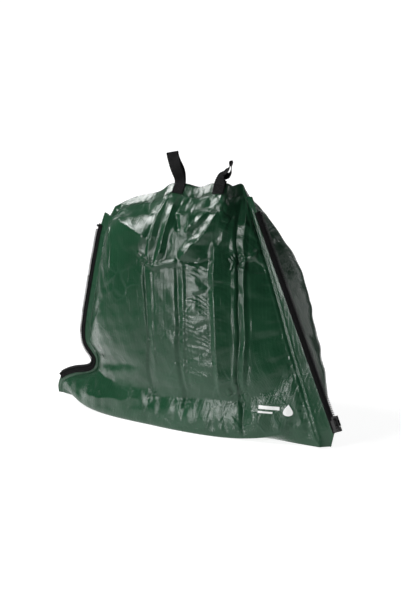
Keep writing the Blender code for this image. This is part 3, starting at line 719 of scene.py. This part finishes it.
def make_handle(name, base, spine):
    """A length of webbing with its two sewn tails, and the path of the tail outside."""
    outside, inside = tail_path(base.x, BAND_OUT + 0.0003 + 0.0009), tail_path(base.x, -0.0012)
    loop = [(base + p, w) for p, w in loop_path(spine)][3:-3]
    places = [(p, w) for p, w, _ in outside] + loop + [(p, w) for p, w, _ in inside[::-1]]
    for middle in (len(outside), len(places) - len(inside) - 1):
        places[middle - 4:middle + 5] = smooth_path(places[middle - 4:middle + 5])
    sections = []
    normal_before = None
    for i, (point, width) in enumerate(places):
        along = (places[min(i + 1, len(places) - 1)][0] - places[max(i - 1, 0)][0]).normalized()
        width = (width - along * width.dot(along)).normalized()
        normal = along.cross(width).normalized()
        if normal_before is not None and normal.dot(normal_before) < 0:
            normal = -normal
        normal_before = normal
        section, across = ribbon_section(point, width, normal, WEB_WIDTH / 2, WEB_THICK)
        sections.append(section)
    return ring_sweep(name, sections, across), outside


def box_stitch(name, outside):
    """A stitched box with a cross in it, through the handle's sewn end."""

    def at(a, b):
        t = a * (len(outside) - 1)
        i = min(int(t), len(outside) - 2)
        p = outside[i][0].lerp(outside[i + 1][0], t - i)
        w, n = outside[i][1], outside[i][2]
        return p + w * b + n * (WEB_THICK / 2 + 0.0001), n

    low, high, half = 0.08, 0.9, 0.013
    corners = [(low, -half), (high, -half), (high, half), (low, half),
               (low, -half), (high, half), (high, -half), (low, half)]
    places = [at(a0 + (a1 - a0) * k / 8, b0 + (b1 - b0) * k / 8)
              for (a0, b0), (a1, b1) in zip(corners, corners[1:]) for k in range(8)]
    return stitch_row(name, places + [at(*corners[-1])], 0.0024, 0.0009, 0.00036)


left_handle, left_outside = make_handle("left_handle_webbing", LEFT_BASE, LEFT_LOOP)
right_handle, right_outside = make_handle("right_handle_webbing", RIGHT_BASE, RIGHT_LOOP)
left_box = box_stitch("left_handle_thread", left_outside)
right_box = box_stitch("right_handle_thread", right_outside)


def joined(name, pieces):
    """One object made of several."""
    bm = bmesh.new()
    for obj in pieces:
        bm.from_mesh(obj.data)
        bpy.data.objects.remove(obj)
    mesh = bpy.data.meshes.new(name)
    bm.to_mesh(mesh)
    bm.free()
    return link_object(name, mesh)


# Zips
BEAD_IN = -0.0012
FIRST_TOOTH = {-1: 0.0143, 1: 0.0123}  # above the tape's lower end
TOOTH_PITCH, TOOTH_HALF = 0.005, 0.0021
TOOTH = [(-0.0018, 0.0002), (0.001, 0.0004), (0.0022, -0.0001), (0.0033, 0.0), (0.0041, 0.0008),
         (0.0041, 0.0022), (0.0033, 0.003), (0.0022, 0.0031), (0.001, 0.0026), (-0.0018, 0.0028)]
TOOTH_RINGS = ((-1.0, 0.72), (-0.72, 1.0), (0.72, 1.0), (1.0, 0.72))  # height and size of a tooth's sections


def zip_tape(name, side):
    """Knitted tape with the round bead that the teeth grip, and the fold that covers the flange's front."""
    sections, across, folds, fold_across = [], None, [], None
    count = int(ZIP_LENGTH / 0.003)
    edge = BEAD_IN - 0.0004
    for i in range(count + 1):
        point, _, out, back = zip_frame(side, ZIP_LENGTH * i / count)
        wave = 0.0002 * math.sin(i * 0.9)
        shape = [(-TAPE_REACH - TAPE_LAP + wave, 0.0002), (-TAPE_REACH - TAPE_LAP + 0.0006 + wave, 0.00045),
                 (-0.012, 0.00045), (-0.006, 0.00045), (edge - 0.0012, 0.00045), (edge - 0.0006, 0.001),
                 (edge + 0.0002, 0.001), (edge + 0.0009, 0.0002)]
        ring = [(a, h) for a, h in shape] + [(a, -h) for a, h in shape[::-1]]
        sections.append([point + out * a + back * h for a, h in ring])
        across = [a for a, _ in ring]
        fold = [(-0.0172 + wave, -0.0036), (-0.0172 + wave, -0.0043), (-0.0105, -0.0043),
                (-0.009, -0.004), (-0.0062, -0.0009), (-0.0056, -0.0008),
                (-0.0056, -0.0005), (-0.0068, -0.0007), (-0.0098, -0.0036)]
        folds.append([point + out * a + back * h for a, h in fold])
        fold_across = [a for a, _ in fold]
    return joined(name, [ring_sweep(name, sections, across), ring_sweep(name, folds, fold_across)])


def zip_teeth(name, side):
    """Separate moulded teeth, waisted behind their heads and rounded at their faces."""
    verts, faces = [], []
    s = FIRST_TOOTH[side]
    while s + TOOTH_PITCH < ZIP_LENGTH - 0.012:
        point, along, out, back = zip_frame(side, s)
        base = len(verts)
        for height, shrink in TOOTH_RINGS:
            for a, l in TOOTH:
                verts.append(point + out * (0.0011 + (a - 0.0011) * shrink)
                             + along * (0.0015 + (l - 0.0015) * shrink) + back * (TOOTH_HALF * height))
        faces += tube_faces(len(TOOTH_RINGS), len(TOOTH), base)
        s += TOOTH_PITCH
    return mesh_object(name, verts, faces, False)


def zip_seam(name, side):
    """Two rows of stitches that hold the tape to the flange, seen on both faces."""
    pieces = []
    for face, lift in ((1, TAPE_THICK / 2 + 0.0001), (-1, 0.0044)):
        for share in (0.32, 0.72):
            row = []
            for i in range(193):
                point, _, out, back = zip_frame(side, 0.004 + (ZIP_LENGTH - 0.008) * i / 192)
                row.append((point + out * (-TAPE_REACH - TAPE_LAP * share) + back * (face * lift), back * face))
            pieces.append(stitch_row(f"{name}_{len(pieces)}", row, 0.0028, 0.0002, 0.0003))
    return joined(name, pieces)


def rounded_copy(name, node, width):
    """A closer copy of a moulded part, with its edges rounded."""
    obj = link_object(name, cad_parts[node].data.copy())
    bm = bmesh.new()
    bm.from_mesh(obj.data)
    bmesh.ops.remove_doubles(bm, verts=bm.verts, dist=1e-6)
    bmesh.ops.dissolve_limit(bm, angle_limit=0.02, verts=bm.verts, edges=bm.edges)
    sharp = [e for e in bm.edges if len(e.link_faces) == 2 and e.calc_face_angle(0) > 0.5]
    bmesh.ops.bevel(bm, geom=sharp, offset=width, segments=3, profile=0.5, affect="EDGES", clamp_overlap=True)
    bm.to_mesh(obj.data)
    bm.free()
    obj.data.materials.clear()
    obj.data.shade_smooth()
    return obj


left_tape, right_tape = zip_tape("left_zip_tape", -1), zip_tape("right_zip_tape", 1)
left_teeth, right_teeth = zip_teeth("left_zip_teeth", -1), zip_teeth("right_zip_teeth", 1)
left_seam, right_seam = zip_seam("left_zip_thread", -1), zip_seam("right_zip_thread", 1)
box_part = rounded_copy("retaining_box_moulding", "zip_retaining_box", 0.0009)
pin_part = rounded_copy("insertion_pin_moulding", "zip_insertion_pin", 0.0006)

# A plain printed mark low on the right of the front: a drop and two blank bars
fabric_tree = BVHTree.FromObject(front_panel, bpy.context.evaluated_depsgraph_get())


def on_front(x, z, lift=0.00012):
    hit, normal, _, _ = fabric_tree.ray_cast(Vector((x, -0.6, z)), Vector((0, 1, 0)))
    if hit is None:
        return Vector((x, -0.1, z))
    return hit + normal * (lift if normal.y < 0 else -lift)


def printed_mark(name, centre):
    verts, faces = [], []
    rings, arms = 6, 48
    for ring in range(rings + 1):
        for k in range(arms):
            t = math.tau * k / arms
            reach = 0.0145 * ring / rings
            x = reach * math.sin(t) * math.sin(t / 2) ** 1.4
            verts.append(on_front(centre[0] + 0.033 + x * 1.15, centre[1] + reach * math.cos(t)))
    faces += grid_faces(rings + 1, arms, wrap=True)
    for left, low, wide, tall in ((-0.04, -0.002, 0.052, 0.0085), (-0.04, -0.0115, 0.036, 0.0045)):
        base = len(verts)
        for j in range(4):
            for i in range(25):
                verts.append(on_front(centre[0] + left + wide * i / 24, centre[1] + low + tall * j / 3))
        faces += [tuple(base + k for k in f) for f in grid_faces(4, 25)]
    return mesh_object(name, verts, faces)


mark = printed_mark("printed_drop_mark", (0.303, 0.088))


# Materials
class Shader:
    """A short way to write a node tree."""

    def __init__(self, name, roughness=0.5, **fixed):
        self.material = bpy.data.materials.new(name)
        self.material.use_nodes = True
        self.tree = self.material.node_tree
        self.tree.nodes.clear()
        self.surface = self.add("ShaderNodeBsdfPrincipled")
        self.surface.inputs["Roughness"].default_value = roughness
        for key, value in fixed.items():
            self.surface.inputs[key.replace("_", " ")].default_value = value
        output = self.add("ShaderNodeOutputMaterial")
        self.link(self.surface.outputs["BSDF"], output.inputs["Surface"])

    def add(self, kind, **settings):
        node = self.tree.nodes.new(kind)
        for key, value in settings.items():
            setattr(node, key, value)
        return node

    def link(self, a, b):
        self.tree.links.new(a, b)

    def put(self, socket, value):
        if isinstance(value, bpy.types.NodeSocket):
            self.link(value, socket)
        else:
            socket.default_value = value

    def fill(self, node, **values):
        for key, value in values.items():
            self.put(node.inputs[key.replace("_", " ")], value)
        return node

    def math(self, operation, a, b=0.0, c=0.0):
        node = self.add("ShaderNodeMath", operation=operation)
        for socket, value in zip(node.inputs, (a, b, c)):
            self.put(socket, value)
        return node.outputs[0]

    def cloth_place(self):
        split = self.add("ShaderNodeSeparateXYZ")
        self.link(self.add("ShaderNodeUVMap", uv_map="cloth").outputs["UV"], split.inputs[0])
        return split.outputs["X"], split.outputs["Y"]

    def object_place(self):
        return self.add("ShaderNodeTexCoord").outputs["Object"]

    def noise(self, place, scale, detail=4.0, rough=0.55, distortion=0.0):
        node = self.add("ShaderNodeTexNoise")
        self.fill(node, Vector=place, Scale=scale, Detail=detail, Roughness=rough, Distortion=distortion)
        return node.outputs["Fac"]

    def span(self, value, low, high, to_low, to_high):
        node = self.add("ShaderNodeMapRange")
        self.fill(node, Value=value, From_Min=low, From_Max=high, To_Min=to_low, To_Max=to_high)
        return node.outputs["Result"]

    def blend(self, share, first, second):
        node = self.add("ShaderNodeMix", data_type="RGBA")
        self.put(node.inputs["Factor"], share)
        for socket, value in ((node.inputs[6], first), (node.inputs[7], second)):
            self.put(socket, (*value, 1.0) if isinstance(value, tuple) else value)
        return node.outputs[2]

    def wave(self, value, pitch, turn=0.0):
        return self.math("SINE", self.math("MULTIPLY_ADD", value, math.tau / pitch, turn))

    def bump(self, layers, coat=False):
        """Layers of (height from -1 to 1, depth in metres), finest last."""
        normal = None
        for height, depth in layers:
            node = self.fill(self.add("ShaderNodeBump"), Strength=1.0, Distance=depth, Height=height)
            if normal is not None:
                self.link(normal, node.inputs["Normal"])
            normal = node.outputs["Normal"]
        self.link(normal, self.surface.inputs["Normal"])
        if coat:
            self.link(normal, self.surface.inputs["Coat Normal"])

    def finish(self, colour, roughness=None):
        self.link(colour, self.surface.inputs["Base Color"])
        if roughness is not None:
            self.link(roughness, self.surface.inputs["Roughness"])
        return self.material


def laminated_weave(name, dark, light):
    s = Shader(name, Coat_Weight=0.75, Coat_Roughness=0.11, Coat_IOR=1.42, Specular_IOR_Level=0.12)
    u, v = s.cloth_place()
    place = s.object_place()
    tapes = s.math("MULTIPLY", s.wave(u, 0.0052), s.wave(v, 0.0052))
    ribs = s.math("POWER", s.math("ABSOLUTE", s.wave(u, 0.019)), 14.0)
    cross = s.math("POWER", s.math("ABSOLUTE", s.wave(v, 0.0052)), 3.0)
    crumple = s.noise(place, 26.0, 5.0, 0.62, 0.8)
    swell = s.noise(place, 9.0, 3.0, 0.5, 0.4)
    creases = s.add("ShaderNodeTexVoronoi", feature="DISTANCE_TO_EDGE")
    moved = s.add("ShaderNodeVectorMath", operation="MULTIPLY_ADD")
    twist = s.fill(s.add("ShaderNodeTexNoise"), Vector=place, Scale=14.0)
    for socket, value in zip(moved.inputs, (twist.outputs["Color"], (0.03, 0.03, 0.03), place)):
        s.put(socket, value)
    s.fill(creases, Vector=moved.outputs[0], Scale=21.0)
    line = s.span(creases.outputs["Distance"], 0.0, 0.1, 1.0, 0.0)
    patchy = s.span(s.noise(place, 5.0, 2.0), 0.52, 0.66, 0.0, 1.0)
    line = s.math("MULTIPLY", line, patchy)
    s.bump([(swell, 0.0045), (crumple, 0.0016), (line, 0.0007),
            (ribs, 0.00012), (cross, 0.00005), (tapes, 0.0001)], coat=True)
    tone = s.math("MULTIPLY_ADD", tapes, 0.1, s.span(s.noise(place, 3.2, 6.0, 0.6), 0.35, 0.65, 0.0, 0.9))
    tone = s.math("MULTIPLY_ADD", ribs, 0.22, tone)
    base = s.blend(tone, dark, light)
    dust = s.span(s.noise(place, 60.0, 6.0, 0.7), 0.6, 0.8, 0.0, 0.1)
    worn = s.math("MAXIMUM", dust, s.math("MULTIPLY", line, 0.1))
    base = s.blend(worn, base, (0.1, 0.16, 0.13))
    rough = s.span(s.noise(place, 11.0, 5.0, 0.6), 0.3, 0.7, 0.24, 0.36)
    return s.finish(base, s.math("MULTIPLY_ADD", worn, 0.6, rough))


def webbing_material():
    s = Shader("woven_webbing", Specular_IOR_Level=0.12)
    u, v = s.cloth_place()
    place = s.object_place()
    rib = s.wave(v, 0.0026)
    chevron = s.math("MULTIPLY", s.math("ABSOLUTE", s.wave(u, 0.0128)), 0.0016)
    twill = s.wave(s.math("ADD", chevron, v), 0.0013)
    cords = s.wave(u, 0.0016)
    fuzz = s.noise(place, 900.0, 3.0, 0.7)
    s.bump([(rib, 0.00022), (cords, 0.00016), (twill, 0.00012), (fuzz, 0.00015)])
    tone = s.math("MULTIPLY_ADD", rib, 0.25, s.noise(place, 30.0, 4.0))
    base = s.blend(tone, (0.0012, 0.0012, 0.0014), (0.005, 0.005, 0.0054))
    return s.finish(base, s.span(fuzz, 0.3, 0.7, 0.55, 0.8))


def tape_material():
    s = Shader("knitted_tape", Specular_IOR_Level=0.08)
    u, v = s.cloth_place()
    place = s.object_place()
    knit = s.math("MULTIPLY", s.wave(u, 0.0014), s.wave(v, 0.0018))
    wale = s.wave(u, 0.0028)
    fuzz = s.noise(place, 1200.0, 2.0, 0.7)
    s.bump([(wale, 0.00012), (knit, 0.00016), (fuzz, 0.0001)])
    tone = s.math("MULTIPLY_ADD", knit, 0.3, s.noise(place, 40.0, 4.0))
    base = s.blend(tone, (0.0012, 0.0012, 0.0014), (0.0045, 0.0043, 0.0048))
    return s.finish(base, s.span(fuzz, 0.3, 0.7, 0.6, 0.85))


def moulded_material(name, dark, light, rough):
    s = Shader(name)
    place = s.object_place()
    grain = s.noise(place, 1500.0, 3.0, 0.6)
    flow = s.noise(place, 90.0, 4.0, 0.6, 0.6)
    s.bump([(flow, 0.00012), (grain, 0.00006)])
    scuff = s.span(s.noise(place, 420.0, 6.0, 0.75), 0.58, 0.75, 0.0, 0.5)
    base = s.blend(scuff, s.blend(flow, dark, light), tuple(c * 2.2 + 0.01 for c in light))
    return s.finish(base, s.span(flow, 0.3, 0.7, rough - 0.06, rough + 0.1))


def thread_material():
    s = Shader("sewing_thread", Specular_IOR_Level=0.3)
    place = s.object_place()
    twist = s.noise(place, 2400.0, 2.0, 0.5, 1.5)
    s.bump([(twist, 0.00012)])
    base = s.blend(s.noise(place, 160.0), (0.004, 0.005, 0.005), (0.014, 0.016, 0.015))
    return s.finish(base, s.span(twist, 0.3, 0.7, 0.45, 0.7))


def print_material():
    s = Shader("printed_ink", Coat_Weight=0.2)
    place = s.object_place()
    worn = s.span(s.noise(place, 320.0, 6.0, 0.7), 0.62, 0.72, 0.0, 0.6)
    s.bump([(s.noise(place, 26.0, 5.0, 0.62, 0.8), 0.0012), (s.noise(place, 700.0, 3.0), 0.00006)])
    base = s.blend(s.noise(place, 50.0), (0.66, 0.68, 0.66), (0.8, 0.81, 0.8))
    base = s.blend(worn, base, (0.16, 0.24, 0.2))
    return s.finish(base, s.span(worn, 0.0, 1.0, 0.42, 0.6))


# strength of the painted glow in the floor's emission
FLOOR_GLOW = 0.85


def floor_material():
    s = Shader("grey_floor_painted_glow", 0.85)
    place = s.object_place()
    tone = s.noise(place, 1.3, 3.0)
    s.bump([(s.noise(place, 300.0, 3.0), 0.0002)])
    colour = s.blend(tone, (0.36, 0.36, 0.36), (0.4, 0.4, 0.4))
    # painted glow: the floor's own emission lights it from below near the object and behind it, as on a light table,
    # and fades to grey around that
    turned = s.add("ShaderNodeVectorRotate", rotation_type="Z_AXIS")
    s.fill(turned, Vector=place, Angle=-CAMERA_TURN)
    split = s.add("ShaderNodeSeparateXYZ")
    s.link(turned.outputs[0], split.inputs[0])
    reach = s.math("MULTIPLY_ADD", split.outputs["Y"], -0.222, s.math("ABSOLUTE", split.outputs["X"]))
    wide = s.span(reach, 0.66, 0.95, 1.0, 0.0)
    deep = s.span(split.outputs["Y"], -1.45, -1.05, 0.0, 1.0)
    glow = s.math("MULTIPLY", s.math("MULTIPLY", wide, deep), FLOOR_GLOW)
    s.fill(s.surface, Emission_Color=(1, 1, 1, 1), Emission_Strength=glow)
    return s.finish(colour)


fabric = laminated_weave("laminated_fabric", (0.0062, 0.035, 0.0155), (0.01, 0.05, 0.023))
# the hem band uses the same laminate in darker greens: painted shade for the upright band round the mouth
hem_fabric_painted_shade = laminated_weave("hem_fabric_painted_shade", (0.0052, 0.029, 0.0125), (0.0085, 0.042, 0.019))
webbing, tape, thread = webbing_material(), tape_material(), thread_material()
plastic = moulded_material("black_acetal", (0.002, 0.002, 0.0023), (0.006, 0.006, 0.0066), 0.4)
patch = moulded_material("green_patch", (0.008, 0.045, 0.02), (0.013, 0.065, 0.03), 0.32)
ink = print_material()

PIECES = [
    # piece, material, slot, nodes it stands for; all of them ride on the bag
    (front_panel, fabric, "green_fabric", ("front_panel",)),
    (back_panel, fabric, "green_fabric", ("back_panel",)),
    (front_band, hem_fabric_painted_shade, "green_fabric", ("front_hem_band",)),
    (back_band, hem_fabric_painted_shade, "green_fabric", ("back_hem_band",)),
    (front_hem_stitches, thread, "thread", ("front_hem_band",)),
    (back_hem_stitches, thread, "thread", ("back_hem_band",)),
    (mark, ink, "green_fabric", ()),
    (left_tape, tape, "tape", ("zip_tape_left",)),
    (right_tape, tape, "tape", ("zip_tape_right",)),
    (left_teeth, plastic, "plastic", ("zip_teeth_left",)),
    (right_teeth, plastic, "plastic", ("zip_teeth_right",)),
    (left_seam, thread, "thread", ("zip_stitching_left",)),
    (right_seam, thread, "thread", ("zip_stitching_right",)),
    (box_part, plastic, "plastic", ("zip_retaining_box",)),
    (pin_part, plastic, "plastic", ("zip_insertion_pin",)),
    (left_box, thread, "thread", ("handle_left_stitching",)),
    (right_box, thread, "thread", ("handle_right_stitching",)),
]
for piece, material, slot_name, nodes in PIECES:
    piece.data.materials.clear()
    piece.data.materials.append(material)
    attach(piece, "bag")
    if nodes:
        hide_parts(*nodes)

for piece, side, base in ((left_handle, "left", LEFT_BASE), (right_handle, "right", RIGHT_BASE)):
    piece.data.materials.append(webbing)
    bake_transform(piece)
    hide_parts(f"handle_{side}_loop", f"handle_{side}_front_tail", f"handle_{side}_back_tail")

for node, material in (
    ("zip_slider_body", plastic), ("zip_pull_tab", plastic),
    ("zip_top_stop_left", plastic), ("zip_top_stop_right", plastic),
    ("drip_nozzle_left", plastic), ("drip_nozzle_right", plastic),
    ("drip_patch_left", patch), ("drip_patch_right", patch),
):
    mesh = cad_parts[node].data
    mesh.materials.clear()
    mesh.materials.append(material)


# Studio: a grey sweep that looks pale by its painted glow, a tall softbox in front, one over the left shoulder, one
# overhead and one behind
def studio_sweep():
    ahead = Vector((-math.sin(CAMERA_TURN), math.cos(CAMERA_TURN), 0))
    right = Vector((math.cos(CAMERA_TURN), math.sin(CAMERA_TURN), 0))
    profile = [(-2.8, 0.0), (1.6, 0.0), (2.0, 0.03), (2.4, 0.14), (2.7, 0.36), (2.9, 0.75), (2.95, 1.2), (2.95, 1.9)]
    verts = [ahead * distance + right * side + Vector((0, 0, height))
             for distance, height in profile for side in (-3.2, 3.2)]
    return mesh_object("studio_sweep", verts, grid_faces(len(profile), 2))


sweep = studio_sweep()
sweep.data.materials.append(floor_material())


def softbox(name, place, aim, size, power):
    data = bpy.data.lights.new(name, "AREA")
    data.shape, data.size, data.size_y = "RECTANGLE", size[0], size[1]
    data.energy = power
    obj = link_object(name, data)
    obj.location = Vector(place)
    obj.rotation_euler = (Vector(aim) - obj.location).to_track_quat("-Z", "Y").to_euler()


softbox("tall_front_box", (-0.5, -2.6, 0.75), (0.05, -0.08, 0.35), (0.3, 1.4), 46)
softbox("left_shoulder_box", (-1.7, -0.8, 2.05), (-0.15, 0.0, 0.5), (0.8, 0.8), 62)
softbox("overhead_box", (0.3, 0.1, 2.7), (0.1, 0.0, 0.2), (1.6, 1.6), 9)
softbox("right_back_box", (1.9, 1.5, 0.9), (0.3, 0.05, 0.3), (0.4, 1.6), 9)

world = bpy.data.worlds.new("studio")
bpy.context.scene.world = world
world.use_nodes = True
sky = world.node_tree.nodes["Background"].inputs
sky["Color"].default_value, sky["Strength"].default_value = (0.9, 0.95, 1.0, 1.0), 0.05
bpy.context.scene.view_settings.view_transform = "Standard"

lens = bpy.data.cameras.new("camera")
lens.lens, lens.sensor_width = 53.91, 36.0
lens.clip_start = 0.05
camera = link_object("camera", lens)
aim = Vector((0.0819, -0.1069, 0.341))
reach, eye = 2.282, 0.717  # along the ground, and above it
camera.location = Vector((reach * math.sin(CAMERA_TURN) + aim.x, -reach * math.cos(CAMERA_TURN) + aim.y, eye))
camera.rotation_euler = (aim - camera.location).to_track_quat("-Z", "Y").to_euler()
bpy.context.scene.camera = camera
